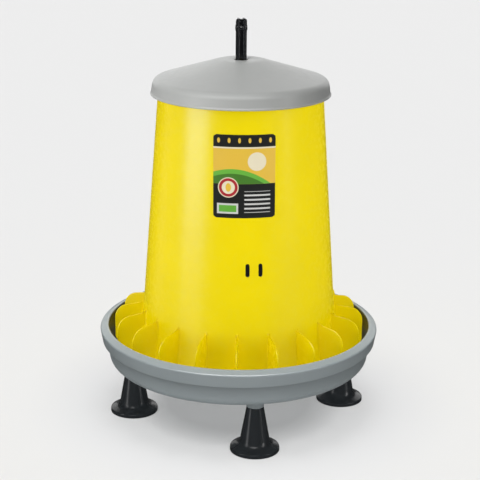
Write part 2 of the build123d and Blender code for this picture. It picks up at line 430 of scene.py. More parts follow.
def scaled(color: tuple, factor: float) -> tuple:
    """A colour made lighter or darker."""
    return rgba(tuple(min(c * factor, 1.0) for c in color))


@dataclass(frozen=True)
class MouldedPlastic:
    """Injection-moulded plastic with a fine mould grain and faint flow clouds.

    The colour drifts between a darker and a lighter tone over a few centimetres, the
    roughness over a few millimetres, and a fine grain raises the surface. Scales are in
    features to a metre, heights in metres. Where the painted shade factor is under 1, the
    colour is darker by that factor on an inner wall, between the stops for radius and
    height, in metres: this is painted shade, standing in for the deep shade on that wall.
    """

    name: str
    color: tuple
    roughness: float
    specular: float
    drift: float = 0.02
    drift_scale: float = 14.0
    roughness_spread: float = 0.05
    grain: float = 0.00004
    grain_scale: float = 900.0
    orange_peel: float = 0.0002
    orange_peel_scale: float = 90.0
    tint: tuple = (1.0, 1.0, 1.0)
    # Painted shade on an inner wall: its factor, its lean and its stops for radius and height.
    painted_shade: float = 1.0
    painted_shade_lean: float = 0.0525
    painted_shade_r: tuple = (0.1842, 0.1880, 0.1948, 0.1955)
    painted_shade_z: tuple = (0.0920, 0.0960, 0.1405, 0.1425)

    def with_painted_shade(self, g: Graph, at: bpy.types.NodeSocket,
               color: bpy.types.NodeSocket) -> bpy.types.NodeSocket:
        """The colour, darker on a leaning inner wall.

        The darkening is painted shade, standing in for the deep shade on that wall. The wall
        is where both the radius less lean times height, and the height, lie between their
        stops. Each rises from 0 to 1 over the first two stops and falls back over the last
        two, and the two are multiplied.

        Args:
            g: The material's graph.
            at: Object coordinates.
            color: The colour elsewhere.

        Returns:
            The colour.
        """
        split = g.add("ShaderNodeSeparateXYZ")
        g.join(at, split.inputs[0])
        x, y, z = split.outputs
        r = g.math("SQRT", g.math("ADD", g.math("MULTIPLY", x, x), g.math("MULTIPLY", y, y)))
        r = g.math("SUBTRACT", r, g.math("MULTIPLY", z, self.painted_shade_lean))
        share: object = 1.0
        for value, stops in ((r, self.painted_shade_r), (z, self.painted_shade_z)):
            rise = g.ramp(value, stops[0], stops[1], 0.0, 1.0)
            fall = g.ramp(value, stops[2], stops[3], 1.0, 0.0)
            share = g.math("MULTIPLY", share, g.math("MULTIPLY", rise, fall))
        # Painted shade: on the wall the colour becomes the plastic's colour times the shade
        # factor.
        return g.blend(share, color, scaled(self.color, self.painted_shade))

    def material(self) -> bpy.types.Material:
        """Builds the node material.

        Returns:
            The material, on Object coordinates.
        """
        g = Graph(self.name)
        at = g.position()
        cloud = g.ramp(g.noise(at, self.drift_scale, 2.0), 0.3, 0.7, 0.0, 1.0)
        dark, light = scaled(self.color, 1 - self.drift), scaled(self.color, 1 + self.drift)
        color = g.blend(cloud, dark, light)
        # Painted shade on the inner wall, where the factor is under 1.
        if self.painted_shade < 1.0:
            color = self.with_painted_shade(g, at, color)
        g.put(g.shader.inputs["Base Color"], color)
        patch = g.noise(at, self.drift_scale * 8, 3.0)
        low, high = self.roughness - self.roughness_spread, self.roughness + self.roughness_spread
        g.put(g.shader.inputs["Roughness"], g.ramp(patch, 0.3, 0.7, low, high))
        g.shader.inputs["Specular IOR Level"].default_value = self.specular
        g.shader.inputs["Specular Tint"].default_value = rgba(self.tint)
        peel = g.bump(g.noise(at, self.orange_peel_scale, 1.0), self.orange_peel, 0.25)
        fine = g.bump(g.noise(at, self.grain_scale, 2.0), self.grain, 0.6, peel)
        g.put(g.shader.inputs["Normal"], fine)
        return g.material


@dataclass(frozen=True)
class PrintedLabel:
    """Printed film with a plain farm motif in flat colours, on the label's own UV map.

    From the top: a charcoal field with a row of seeds, an amber sky with a pale sun behind
    a green hill, a red ring with a cream centre, and pale rules on a charcoal foot. Places
    are in widths of the label from its lower left corner.
    """

    name: str = "printed_label"
    charcoal: tuple = (0.017, 0.018, 0.017)
    amber: tuple = (0.78, 0.50, 0.05)
    green: tuple = (0.14, 0.46, 0.05)
    cream: tuple = (0.80, 0.72, 0.52)
    red: tuple = (0.42, 0.02, 0.03)
    pale: tuple = (0.62, 0.62, 0.60)
    aspect: float = 119.0 / 88.0
    soft: float = 0.006
    side: tuple = (-0.1, 1.1)
    foot_top: float = 0.56
    sky_top: float = 1.13
    line_top: float = 1.155
    sun: tuple = (0.70, 0.92)
    sun_r: float = 0.15
    hill: tuple = (0.30, 0.80)
    hill_fall: float = 0.62
    field_drop: float = 0.075
    seeds: int = 6
    seed_v: float = 1.26
    seed_r: float = 0.042
    seed_stretch: float = 0.55
    ring: tuple = (0.24, 0.50)
    ring_r: tuple = (0.165, 0.15, 0.105)
    kernel_r: float = 0.07
    kernel_stretch: float = 0.62
    rules: float = 5 / 0.36
    rule_share: float = 0.38
    rules_low: tuple = (0.50, 0.09)
    rules_high: tuple = (0.92, 0.44)
    plate: tuple = ((0.06, 0.07), (0.40, 0.24))
    plate_inside: tuple = ((0.09, 0.10), (0.37, 0.21))

    def below(self, g: Graph, value: object, limit: object) -> bpy.types.NodeSocket:
        """1 where a value is under a limit, with a soft edge."""
        room = g.math("SUBTRACT", limit, value)
        return g.math("MULTIPLY_ADD", room, 1 / self.soft, 0.5, clamp=True)

    def disc(self, g: Graph, u: object, v: object, centre: tuple, radius: float,
             stretch: float = 1.0) -> bpy.types.NodeSocket:
        """1 inside an ellipse whose width is stretch times its height.

        Args:
            g: The material's graph.
            u: Place across the label.
            v: Place up it.
            centre: The ellipse's centre.
            radius: Half its height.
            stretch: Its width over its height.

        Returns:
            The share, with a soft edge.
        """
        du = g.math("DIVIDE", g.math("SUBTRACT", u, centre[0]), stretch)
        dv = g.math("SUBTRACT", v, centre[1])
        far = g.math("SQRT", g.math("ADD", g.math("MULTIPLY", du, du), g.math("MULTIPLY", dv, dv)))
        return self.below(g, far, radius)

    def panel(self, g: Graph, u: object, v: object, low: tuple,
              high: tuple) -> bpy.types.NodeSocket:
        """1 inside an upright rectangle.

        Args:
            g: The material's graph.
            u: Place across the label.
            v: Place up it.
            low: The lower left corner.
            high: The upper right corner.

        Returns:
            The share, with a soft edge.
        """
        shares = [self.below(g, low[0], u), self.below(g, u, high[0]),
                  self.below(g, low[1], v), self.below(g, v, high[1])]
        out = shares[0]
        for share in shares[1:]:
            out = g.math("MULTIPLY", out, share)
        return out

    def material(self) -> bpy.types.Material:
        """Builds the node material, painting each shape over the ones before.

        Returns:
            The material, on the label's UV map.
        """
        g = Graph(self.name)
        split = g.add("ShaderNodeSeparateXYZ")
        g.join(g.add("ShaderNodeTexCoord").outputs["UV"], split.inputs[0])
        u, v = split.outputs[0], g.math("MULTIPLY", split.outputs[1], self.aspect)
        color: object = rgba(self.charcoal)
        left, right = self.side
        sky = self.panel(g, u, v, (left, self.foot_top), (right, self.sky_top))
        color = g.blend(sky, color, rgba(self.amber))
        color = g.blend(self.disc(g, u, v, self.sun, self.sun_r), color, rgba(self.cream))
        arch = g.math("SUBTRACT", u, self.hill[0])
        arch = g.math("MULTIPLY", arch, arch)
        hill = g.math("MULTIPLY_ADD", arch, -self.hill_fall, self.hill[1])
        over_foot = self.below(g, self.foot_top, v)
        ground = g.math("MULTIPLY", self.below(g, v, hill), over_foot)
        color = g.blend(ground, color, rgba(self.green))
        furrow = g.math("SUBTRACT", hill, self.field_drop)
        field_share = g.math("MULTIPLY", self.below(g, v, furrow), over_foot)
        color = g.blend(field_share, color, scaled(self.green, 0.45))
        line = self.panel(g, u, v, (left, self.sky_top), (right, self.line_top))
        color = g.blend(line, color, rgba(self.cream))
        phase = g.math("FRACT", g.math("MULTIPLY", u, float(self.seeds)))
        seed_u = g.math("DIVIDE", g.math("SUBTRACT", phase, 0.5), float(self.seeds))
        seed = self.disc(g, seed_u, v, (0.0, self.seed_v), self.seed_r, self.seed_stretch)
        color = g.blend(seed, color, rgba(self.amber))
        for radius, paint in zip(self.ring_r, (self.cream, self.red, self.cream)):
            color = g.blend(self.disc(g, u, v, self.ring, radius), color, rgba(paint))
        kernel = self.disc(g, u, v, self.ring, self.kernel_r, self.kernel_stretch)
        color = g.blend(kernel, color, rgba(self.amber))
        stripe = g.math("FRACT", g.math("MULTIPLY", v, self.rules))
        block = self.panel(g, u, v, self.rules_low, self.rules_high)
        dash = g.math("MULTIPLY", self.below(g, stripe, self.rule_share), block)
        color = g.blend(dash, color, rgba(self.pale))
        color = g.blend(self.panel(g, u, v, *self.plate), color, rgba(self.pale))
        inside = self.panel(g, u, v, *self.plate_inside)
        color = g.blend(inside, color, scaled(self.green, 0.9))
        g.put(g.shader.inputs["Base Color"], color)
        grain = g.noise(g.position(), 160.0, 3.0)
        g.put(g.shader.inputs["Roughness"], g.ramp(grain, 0.3, 0.7, 0.28, 0.4))
        g.shader.inputs["Specular IOR Level"].default_value = 0.4
        g.put(g.shader.inputs["Normal"], g.bump(grain, 0.0001, 0.3))
        return g.material


@dataclass(frozen=True)
class Finishes:
    """The feeder's finishes."""

    yellow: MouldedPlastic = MouldedPlastic(
        "yellow_plastic", (0.87, 0.69, 0.001), 0.27, 0.08, tint=(0.15, 0.5, 1.0),
        grain=0.000001, orange_peel=0.000004, roughness_spread=0.02)
    lid_grey: MouldedPlastic = MouldedPlastic(
        "lid_grey_plastic", (0.39, 0.398, 0.388), 0.38, 0.35, grain=0.00002,
        orange_peel=0.00008)
    # The pan's inner wall, between its rim and the fins, gets painted shade at 0.04 of its colour.
    pan_grey: MouldedPlastic = MouldedPlastic(
        "pan_grey_plastic", (0.240, 0.272, 0.282), 0.36, 0.45, painted_shade=0.04, grain=0.00002,
        orange_peel=0.00008)
    black: MouldedPlastic = MouldedPlastic(
        "black_plastic", (0.009, 0.0105, 0.013), 0.24, 0.5, drift=0.05,
        roughness_spread=0.02, grain=0.000006, orange_peel=0.00004)
    leg_black: MouldedPlastic = MouldedPlastic(
        "leg_black_plastic", (0.022, 0.0255, 0.0285), 0.25, 0.4, drift=0.04,
        roughness_spread=0.01, grain=0.000003, orange_peel=0.00002)
    label: PrintedLabel = PrintedLabel()


# The feeder's pieces


@dataclass
class Cone:
    """The hopper's tapered tube, which the label, the slots and the fins follow."""

    mouth_z: float = 104.0
    top_z: float = 520.0
    top_r: float = 121.7
    taper: float = 0.074
    wall: float = 2.6

    def radius(self, z: object) -> object:
        """Outer radius at a height: top radius plus taper times the depth below the top."""
        return self.top_r + (self.top_z - z) * self.taper


@dataclass
class Hopper:
    """Yellow hopper: flared mouth, slots with soft edges, top bead and a ring of fins."""

    material: bpy.types.Material
    cone: Cone = field(default_factory=Cone)
    flare_height: float = 34.0
    flare_width: float = 2.5
    flare_bend: float = 120.0
    bead_width: float = 2.2
    bead_height: float = 6.0
    edge: float = 1.0
    slot_z: float = 268.5
    slot_spacing: float = 18.8
    slot_height: float = 19.5
    slot_width: float = 6.0
    slot_margin: float = 3.0
    slot_edge: float = 0.7
    slot_columns: int = 8
    slot_rows: int = 16
    between_columns: int = 3
    side_columns: int = 125
    arms: int = 2
    fin_count: int = 20
    fin_thick: float = 2.4
    fin_height: float = 66.0
    fin_outer_r: float = 193.0
    fin_droop: float = 7.0
    fin_corner: float = 23.0
    fin_root: float = 8.0
    fin_foot: float = 10.0
    fin_turn: float = -0.6
    fin_fillet: float = 1.6

    def slot_frame(self) -> tuple:
        """Angles and heights of the rectangle round a slot of the front pair, at -Y.

        Returns:
            Half spacing, half width and half height of the rectangle: two angles, a length.
        """
        r = self.cone.radius(self.slot_z)
        middle = asin(self.slot_spacing / 2 / r)
        reach = (self.slot_width / 2 + self.slot_margin) / r
        return middle, reach, self.slot_height / 2 + self.slot_margin

    def columns(self) -> tuple:
        """Angles of the wall's columns, with even steps over each slot's rectangle.

        Returns:
            The angles of a full turn and a flag for each column that lies over a slot.
        """
        middle, reach, _ = self.slot_frame()
        share = TURN / self.arms
        stops = [-middle - reach, -middle + reach, middle - reach, middle + reach,
                 share - middle - reach]
        steps = (self.slot_columns, self.between_columns, self.slot_columns, self.side_columns)
        angles, over = [], []
        for arm in range(self.arms):
            for a, b, n, is_slot in zip(stops, stops[1:], steps, (True, False, True, False)):
                angles.append(arm * share + np.linspace(a, b, n, endpoint=False))
                over.append(np.full(n, is_slot))
        return np.concatenate(angles), np.concatenate(over)

    def shell_lines(self) -> tuple:
        """Outside of the wall, from the mouth over its flare to the slots, and past them.

        Returns:
            Two arrays of (radius, height) rows: the run up to the slots, and their band.
        """
        c = self.cone
        flare_z = c.mouth_z + self.flare_height
        _, _, half = self.slot_frame()
        low, high = self.slot_z - half, self.slot_z + half
        face = rounded_path(
            [(c.radius(c.mouth_z) + self.flare_width, c.mouth_z), (c.radius(flare_z), flare_z),
             (c.radius(low), low)],
            [self.flare_bend], 14)
        band_z = np.linspace(low, high, self.slot_rows + 1)
        band = np.stack([c.radius(band_z), band_z], axis=1)
        return face, band

    def shell(self, surface: Surface) -> None:
        """Adds the wall as a surface of revolution, open only where a slot goes through.

        Outside and inside are the same rows moved along their normals by the wall. The
        cells over a slot are left out, and a sleeve from the outer rectangle through the
        slot to the inner rectangle closes them.

        Args:
            surface: What it is added to.
        """
        c = self.cone
        angles, over = self.columns()
        face, band = self.shell_lines()
        top = c.top_z
        bead_z = top - self.bead_height
        bead_r = c.top_r + self.bead_width
        head = rounded_path(
            [band[-1], (c.radius(bead_z), bead_z), (bead_r, bead_z), (bead_r, top),
             (c.top_r - c.wall, top), (c.top_r - c.wall, top - self.bead_height)],
            [0.6, 0.8, 0.8, 0.5], 5)
        outer = np.vstack([face[:-1], band, head[1:-2]])
        inner_top = np.array([[c.top_r - c.wall, top - 1.2]])
        band_in = band[::-1] - [c.wall, 0]
        n = normals_of(face)
        face_in = (face + n * c.wall)[::-1][1:]
        a = np.linspace(0, pi, 9)[:, None]
        out = np.array([face[0] - face[1]])
        out /= np.linalg.norm(out)
        lip = face[0] + n[0] * c.wall / 2 * (1 + np.cos(a)) + out * c.wall / 2 * np.sin(a)
        outline = np.vstack([outer, inner_top, band_in, face_in, lip[1:-1]])
        grid = turned_grid(outline, angles)
        keep = np.ones((len(outline), len(angles)), bool)
        for first in (len(face) - 1, len(outer) + 1):
            rows = np.arange(first, first + len(band) - 1)
            keep[np.ix_(rows, over)] = False
        surface.grid(grid, close_rows=True, close_columns=True, keep=keep)
        for arm in range(self.arms):
            for side in (-1, 1):
                self.sleeve(surface, arm * TURN / self.arms, side, len(band))

    def sleeve(self, surface: Surface, azimuth: float, side: int, rows: int) -> None:
        """Adds one slot: a grid from the outer rectangle over its rounded rim to the inner one.

        A point runs from the rectangle to the slot's outline along a straight line in
        (angle, height), and both are laid on the cone. The rim is a quarter circle.

        Args:
            surface: What it is added to.
            azimuth: Angle of the pair's middle.
            side: -1 for the pair's left slot, 1 for its right one.
            rows: Points along an upright side of the rectangle.
        """
        c = self.cone
        middle, reach, half = self.slot_frame()
        u = np.linspace(-1, 1, self.slot_columns + 1)[:-1]
        v = np.linspace(-1, 1, rows)[:-1]
        square = np.vstack([
            np.stack([u, -np.ones(len(u))], 1), np.stack([np.ones(len(v)), v], 1),
            np.stack([-u, np.ones(len(u))], 1), np.stack([-np.ones(len(v)), -v], 1)])
        rect = square * [reach, half]
        r0 = c.radius(self.slot_z)
        straight = (self.slot_height - self.slot_width) / 2
        flat = square * [self.slot_width / 2, self.slot_height / 2]
        centre = np.stack([0 * flat[:, 0], np.clip(flat[:, 1], -straight, straight)], 1)
        sideways = [1.0, 0.0] * np.sign(flat[:, :1])
        ray = np.where(np.abs(flat[:, 1:]) > straight, flat - centre, sideways)
        ray /= np.maximum(np.linalg.norm(ray, axis=1)[:, None], 1e-9)

        def ring(grow: float, depth: float) -> np.ndarray:
            """The slot's outline grown by a length, at a depth under the cone."""
            at = centre + ray * (self.slot_width / 2 + grow)
            return lay(at / [r0, 1], depth)

        def lay(at: np.ndarray, depth: float) -> np.ndarray:
            """Points of (angle, height) from the slot's middle laid on the cone.

            Args:
                at: Rows of (angle, height).
                depth: How far under the cone.

            Returns:
                Rows of (x, y, z).
            """
            a = azimuth + side * middle + at[:, 0]
            z = self.slot_z + at[:, 1]
            r = c.radius(z) - depth
            return np.stack([r * np.sin(a), -r * np.cos(a), z], 1)

        def between(share: float, depth: float) -> np.ndarray:
            """A ring part of the way from the rectangle to the slot's outline."""
            outline = (centre + ray * (self.slot_width / 2 + self.slot_edge)) / [r0, 1]
            return lay(rect * (1 - share) + outline * share, depth)

        e = self.slot_edge
        quarter = np.linspace(0, pi / 2, 6)[1:]
        grid = [lay(rect, 0.0)] + [between(s, 0.0) for s in (0.35, 0.7, 0.9, 1.0)]
        grid += [ring(e * (1 - sin(a)), e * (1 - cos(a))) for a in quarter]
        grid += [ring(e * (1 - cos(a)), c.wall - e * (1 - sin(a))) for a in np.r_[0.0, quarter]]
        grid += [between(s, c.wall) for s in (0.9, 0.7, 0.35)] + [lay(rect, c.wall)]
        surface.grid(np.array(grid), close_columns=True)

    def fin_points(self) -> np.ndarray:
        """One fin on the -Y side, as a grid along its edge and across its thickness.

        A line runs from the wall to each point of the edge. Half the thickness along it
        is thick / 2 plus a round fillet that grows towards the wall, and the edge is
        closed by half an ellipse as wide as the fin is there, flat where it meets the wall.

        Returns:
            Array of stations along the edge x points round the section x 3.
        """
        c = self.cone
        sink = 0.4
        root_z = c.mouth_z + self.fin_height
        start_z = root_z + 1.6 * self.fin_root
        mouth_r = c.radius(c.mouth_z) + self.flare_width
        edge = rounded_path(
            [(c.radius(start_z) - sink, start_z), (c.radius(root_z), root_z),
             (self.fin_outer_r, root_z - self.fin_droop), (self.fin_outer_r, c.mouth_z),
             (mouth_r - sink, c.mouth_z)],
            [self.fin_root, self.fin_corner, self.fin_foot], 15, 3.0)
        length = np.r_[0, np.cumsum(np.linalg.norm(np.diff(edge, axis=0), axis=1))]
        at = np.linspace(0, length[-1], 48)
        at = np.sort(np.r_[at, length])
        at = at[np.r_[True, np.diff(at) > 0.25]]
        edge = np.stack([np.interp(at, length, edge[:, k]) for k in (0, 1)], 1)
        n = -normals_of(edge)
        n *= np.sign(((edge - edge.mean(0)) * n).sum(1).mean())
        wall_z = start_z + (c.mouth_z - start_z) * at / length[-1]
        flare_z = c.mouth_z + self.flare_height
        flare = self.flare_width * np.clip((flare_z - wall_z) / self.flare_height, 0, 1)
        foot = np.stack([c.radius(wall_z) + flare - sink, wall_z], 1)
        inset = edge - n * self.fin_thick / 2
        inset[:, 0] = np.maximum(inset[:, 0], c.radius(inset[:, 1]) - sink)
        share = (np.linspace(0, 1, 12) ** 1.8)[None, :, None]
        flat = foot[:, None] * (1 - share) + inset[:, None] * share
        wall_r = c.radius(flat[..., 1]) + self.flare_width * np.clip(
            (flare_z - flat[..., 1]) / self.flare_height, 0, 1)
        gap = np.clip(flat[..., 0] - wall_r, 0, self.fin_fillet)
        fillet = self.fin_fillet - np.sqrt(self.fin_fillet ** 2 - (self.fin_fillet - gap) ** 2)
        half = self.fin_thick / 2 + fillet
        a = np.linspace(0, pi, 11)[1:-1]
        proud = edge[:, 0] - c.radius(edge[:, 1]) - self.flare_width * np.clip(
            (flare_z - edge[:, 1]) / self.flare_height, 0, 1)
        lift = np.clip(proud, 0, self.fin_thick / 2)[:, None, None]
        rise = inset[:, None] + n[:, None] * lift * np.sin(a)[None, :, None]
        side = half[:, -1:] * np.cos(a)
        left = np.concatenate([-half[..., None], flat], axis=2)
        cap = np.concatenate([-side[..., None], rise], axis=2)
        right = np.concatenate([half[..., None], flat], axis=2)[:, ::-1]
        section = np.concatenate([left, cap, right], axis=1)
        return np.stack([section[..., 0], -section[..., 1], section[..., 2]], axis=2)

    def build(self) -> bpy.types.Object:
        """Makes the hopper with its fins and puts it in the place of the hopper's node.

        Returns:
            The finished piece.
        """
        surface = Surface()
        self.shell(surface)
        fin = self.fin_points()
        for k in range(self.fin_count):
            angle = radians(180 / self.fin_count + self.fin_turn) + k * TURN / self.fin_count
            points = turned_about_z(fin, angle)
            surface.grid(points, close_columns=True)
            surface.ring_cap(points[0])
            surface.ring_cap(points[-1])
        piece = surface.build("hopper_shell")
        return place(piece, Body.HOPPER, Slot.YELLOW, self.material, "hopper")


@dataclass
class Label:
    """Printed film wrapped on the front of the hopper."""

    material: bpy.types.Material
    cone: Cone = field(default_factory=Cone)
    width: float = 88.0
    height: float = 119.0
    middle_z: float = 405.0
    turn: float = -6.0
    thick: float = 0.3
    gap: float = 0.05
    corner: float = 4.0

    def build(self) -> bpy.types.Object:
        """Makes the film as a sheet on the cone with rounded corners, and its UV map.

        Returns:
            The finished piece.
        """
        v = np.r_[-1, -1, np.linspace(-1, 1, 49), 1, 1] * self.height / 2
        lift = np.full(len(v), self.thick)
        lift[[0, -1]] = self.thick / 2
        out = np.clip(np.abs(v) - (self.height / 2 - self.corner), 0, self.corner)
        half = self.width / 2 - self.corner + np.sqrt(self.corner ** 2 - out ** 2)
        u = np.linspace(-1, 1, 41)
        front = self.sheet(v, half, u, lift)
        back = self.sheet(v, half, u[::-1], self.thick - lift)
        surface = Surface()
        surface.grid(np.concatenate([front, back], axis=1), close_columns=True)
        piece = surface.build("label_film", 30.0)
        self.unwrap(piece.data)
        return place(piece, Body.HOPPER, Slot.LABEL, self.material, "label")

    def sheet(self, v: np.ndarray, half: np.ndarray, u: np.ndarray,
              lift: np.ndarray) -> np.ndarray:
        """Points of the film: x = u half, on the cone at that height, turned to its place.

        Args:
            v: Heights of the rows from the middle.
            half: Half the width of each row.
            u: Places across, from -1 to 1.
            lift: Height of each row over the cone.

        Returns:
            Array of rows x columns x 3.
        """
        z = self.middle_z + v[:, None] + 0 * u
        x = u * half[:, None]
        r = self.cone.radius(z) + self.gap + lift[:, None]
        y = -np.sqrt(r ** 2 - x ** 2)
        return turned_about_z(np.stack([x, y, z], axis=2), radians(self.turn))

    def unwrap(self, mesh: bpy.types.Mesh) -> None:
        """Writes a UV map that runs from 0 to 1 across the film and up it.

        Args:
            mesh: The film's mesh.
        """
        co = np.zeros(len(mesh.vertices) * 3)
        mesh.vertices.foreach_get("co", co)
        at = turned_about_z(co.reshape(-1, 3) / MM, -radians(self.turn))
        across, up = at[:, 0] / self.width, (at[:, 2] - self.middle_z) / self.height
        uv = np.stack([across + 0.5, up + 0.5], 1)
        index = np.zeros(len(mesh.loops), int)
        mesh.loops.foreach_get("vertex_index", index)
        mesh.uv_layers.new(name="UVMap").data.foreach_set("uv", uv[index].ravel())


@dataclass
class Lid:
    """Grey lid: shallow cone, rounded shoulder, flared lip and a slight dish round its hole."""

    material: bpy.types.Material
    wall: float = 2.4
    top_z: float = 551.5
    lip_z: float = 500.5
    slope: float = 16.7
    flat_r: float = 32.0
    shoulder_r: float = 130.3
    skirt_r: float = 133.0
    lip_width: float = 1.8
    lip_height: float = 3.0
    lip_bend: float = 2.0
    shoulder_bend: float = 12.0
    crown_bend: float = 40.0
    dish_bend: float = 14.0
    edge: float = 1.1
    columns: int = 288
    hole_r: float = 10.0
    dish_r: float = 17.0
    dish: float = 1.0
    seat_r: float = 123.9
    seat_width: float = 9.0
    seat_z: float = 520.2

    def build(self) -> bpy.types.Object:
        """Makes the lid as a turned wall with the seat ring inside it.

        Returns:
            The finished piece.
        """
        drop = tan(radians(self.slope))
        shoulder_z = self.top_z - (self.shoulder_r - self.flat_r) * drop
        path = rounded_path(
            [(self.skirt_r + self.lip_width, self.lip_z),
             (self.skirt_r, self.lip_z + self.lip_height), (self.shoulder_r, shoulder_z),
             (self.flat_r, self.top_z), (self.dish_r, self.top_z),
             (self.hole_r, self.top_z - self.dish)],
            [self.lip_bend, self.shoulder_bend, self.crown_bend, self.dish_bend], 13)
        angles = around(self.columns)
        surface = Surface()
        surface.grid(turned_grid(wall_loop(path, self.wall, self.edge), angles), True, True)
        inside_z = self.top_z - self.wall / 2
        low_r = self.seat_r - self.seat_width
        ring = np.array([
            (low_r, self.seat_z), (self.seat_r, self.seat_z),
            (self.seat_r, inside_z - (self.seat_r - self.flat_r) * drop),
            (low_r, inside_z - (low_r - self.flat_r) * drop)])
        surface.grid(turned_grid(ring, angles), True, True)
        return place(surface.build("lid_cover"), Body.LID, Slot.LID_GREY, self.material, "lid")


@dataclass
class Pan:
    """Grey pan: turned-over rim, round bowl, centre cone and four leg sockets underneath."""

    material: bpy.types.Material
    wall: float = 2.6
    floor_z: float = 84.6
    floor_r: float = 198.2
    rim_r: float = 201.3
    rim_z: float = 143.6
    outer_r: float = 215.0
    rim_drop: float = 6.9
    face_height: float = 19.6
    draft: float = 3.5
    bends: tuple = (14.0, 14.0, 10.5, 3.4, 3.0)
    edge: float = 0.9
    columns: int = 320
    socket_columns: int = 48
    cone_r: float = 112.0
    hub_r: float = 26.0
    hub_z: float = 137.6
    hole_r: float = 8.0
    socket_r: float = 13.0
    socket_z: float = 68.5
    bore_r: float = 9.1
    bore_depth: float = 11.0
    leg_circle: float = 164.7
    legs: int = 4

    def socket(self) -> np.ndarray:
        """Outline of a blind socket, from the pan's floor round its rim to its bore's centre.

        Returns:
            Rows of (radius, height).
        """
        top = self.floor_z - self.wall / 2
        path = [(self.socket_r + 3, top), (self.socket_r, top - 3), (self.socket_r, self.socket_z),
                (self.bore_r, self.socket_z), (self.bore_r, self.socket_z + self.bore_depth),
                (0.001, self.socket_z + self.bore_depth)]
        return rounded_path(path, [2.5, 0.9, 0.5, 0.5], 5)

    def build(self) -> bpy.types.Object:
        """Makes the pan as a turned wall with its sockets.

        Returns:
            The finished piece.
        """
        shoulder_z = self.rim_z - self.rim_drop
        path = rounded_path(
            [(self.hole_r, self.hub_z), (self.hub_r, self.hub_z), (self.cone_r, self.floor_z),
             (self.floor_r, self.floor_z), (self.rim_r, self.rim_z), (self.outer_r, shoulder_z),
             (self.outer_r - self.draft, shoulder_z - self.face_height)],
            self.bends, 13)
        bowl = turned_grid(wall_loop(path, -self.wall, self.edge), around(self.columns))
        surface = Surface()
        surface.grid(bowl, True, True)
        socket = turned_grid(self.socket(), around(self.socket_columns))
        for k in range(self.legs):
            at = socket + np.array([0.0, -self.leg_circle, 0.0])
            surface.grid(turned_about_z(at, k * TURN / self.legs), close_columns=True)
        return place(surface.build("pan_bowl"), Body.STAND, Slot.PAN_GREY, self.material, "pan")


@dataclass
class Leg:
    """Black trumpet leg: straight cone, wide flare and a rounded foot ring."""

    material: bpy.types.Material
    number: int
    height: float = 68.5
    top_r: float = 12.5
    waist_r: float = 22.8
    waist_z: float = 11.0
    flare_bend: float = 21.0
    foot_r: float = 36.5
    rim: float = 5.2
    rim_bend: float = 1.5
    wall: float = 2.6
    spigot_r: float = 9.0
    spigot: float = 10.5
    circle: float = 164.7
    columns: int = 96

    def build(self) -> bpy.types.Object:
        """Makes the leg as one turned outline, from the spigot's top round the foot to the cap.

        Returns:
            The finished piece.
        """
        path = rounded_path(
            [(self.top_r, self.height), (self.waist_r, self.waist_z), (self.foot_r, self.rim),
             (self.foot_r, 0)],
            [self.flare_bend, self.rim_bend], 15)
        n = normals_of(path)
        inner = (path - n * self.wall * np.sign(n[len(n) // 2, 0]))[::-1]
        cap_z = self.height - self.wall
        cap_r = np.interp(cap_z, inner[-2:, 1], inner[-2:, 0])
        head = rounded_path(
            [(0.001, self.height + self.spigot), (self.spigot_r, self.height + self.spigot),
             (self.spigot_r, self.height), (self.top_r, self.height), tuple(path[2])],
            [1.2, 0.6, 0.8], 6, 0.4)
        outline = np.vstack([head[:-1], path[2:], inner[1:-1], [(cap_r, cap_z), (0.001, cap_z)]])
        surface = Surface()
        grid = turned_grid(outline, around(self.columns)) + np.array([0.0, -self.circle, 0.0])
        surface.grid(turned_about_z(grid, (self.number - 1) * TURN / 4), close_columns=True)
        piece = surface.build(f"leg_trumpet_{self.number}")
        return place(piece, Body.STAND, Slot.BLACK, self.material, f"leg_{self.number}")


# Studio


